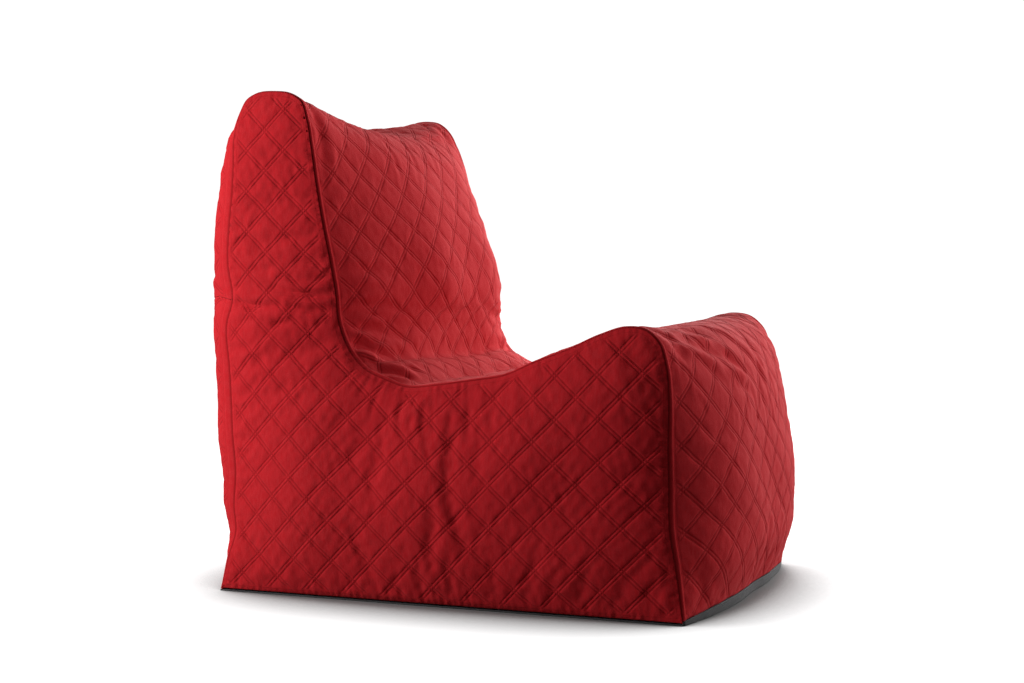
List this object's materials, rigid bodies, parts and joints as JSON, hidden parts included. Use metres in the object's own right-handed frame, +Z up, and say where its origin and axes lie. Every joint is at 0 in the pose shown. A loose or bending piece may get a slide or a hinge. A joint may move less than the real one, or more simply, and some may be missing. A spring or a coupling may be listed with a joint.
{
  "type": "bean bag chair",
  "caption": "Seat-shaped bean bag chair with a quilted fabric cover, a dark base, back zips, an inner liner and a loose bead filling.",
  "frame": {"origin": "on the floor, at the middle of the chair's width and depth", "axes": "+Z up; -Y is the front, where the sitter's legs go; +X is the sitter's left"},
  "size_m": [0.798, 1.0393, 0.9505],
  "materials": {
    "quilted_cover": "matte",
    "base_cloth": "matte",
    "zip_tape": "matte",
    "zip_teeth": "satin",
    "zip_metal": "satin",
    "liner_cloth": "matte",
    "liner_tape": "matte",
    "liner_teeth": "satin",
    "beads": "matte"
  },
  "bodies": {
    "chair": {"side_panel_right": "quilted_cover", "side_panel_left": "quilted_cover", "centre_panel": "quilted_cover", "lower_back_panel": "quilted_cover", "base_panel": "base_cloth", "cover_zip_upper_tape": "zip_tape", "cover_zip_lower_tape": "zip_tape", "cover_zip_upper_teeth": "zip_teeth", "cover_zip_lower_teeth": "zip_teeth", "cover_zip_stops": "zip_metal", "liner_side_right": "liner_cloth", "liner_side_left": "liner_cloth", "liner_band": "liner_cloth", "liner_lower_back": "liner_cloth", "liner_base": "liner_cloth", "liner_zip_upper_tape": "liner_tape", "liner_zip_lower_tape": "liner_tape", "liner_zip_upper_teeth": "liner_teeth", "liner_zip_lower_teeth": "liner_teeth", "liner_zip_stops": "zip_metal", "bead_fill": "beads"},
    "cover_slider": {"cover_zip_slider": "zip_metal"},
    "cover_pull": {"cover_zip_pull": "zip_metal"},
    "liner_slider": {"liner_zip_slider": "zip_metal"}
  },
  "joints": [
    {"name": "cover_zip_slide", "type": "slide", "parent": "chair", "child": "cover_slider", "axis": [-1, 0, 0], "range_m": [0, 0.5302]},
    {"name": "cover_pull_hinge", "type": "hinge", "parent": "cover_slider", "child": "cover_pull", "pos_m": [0.2651, 0.5178, 0.56], "axis": [0, 0, -1], "range_deg": [0, 175]},
    {"name": "liner_zip_slide", "type": "slide", "parent": "chair", "child": "liner_slider", "axis": [-1, 0, 0], "range_m": [0, 0.5302]}
  ]
}
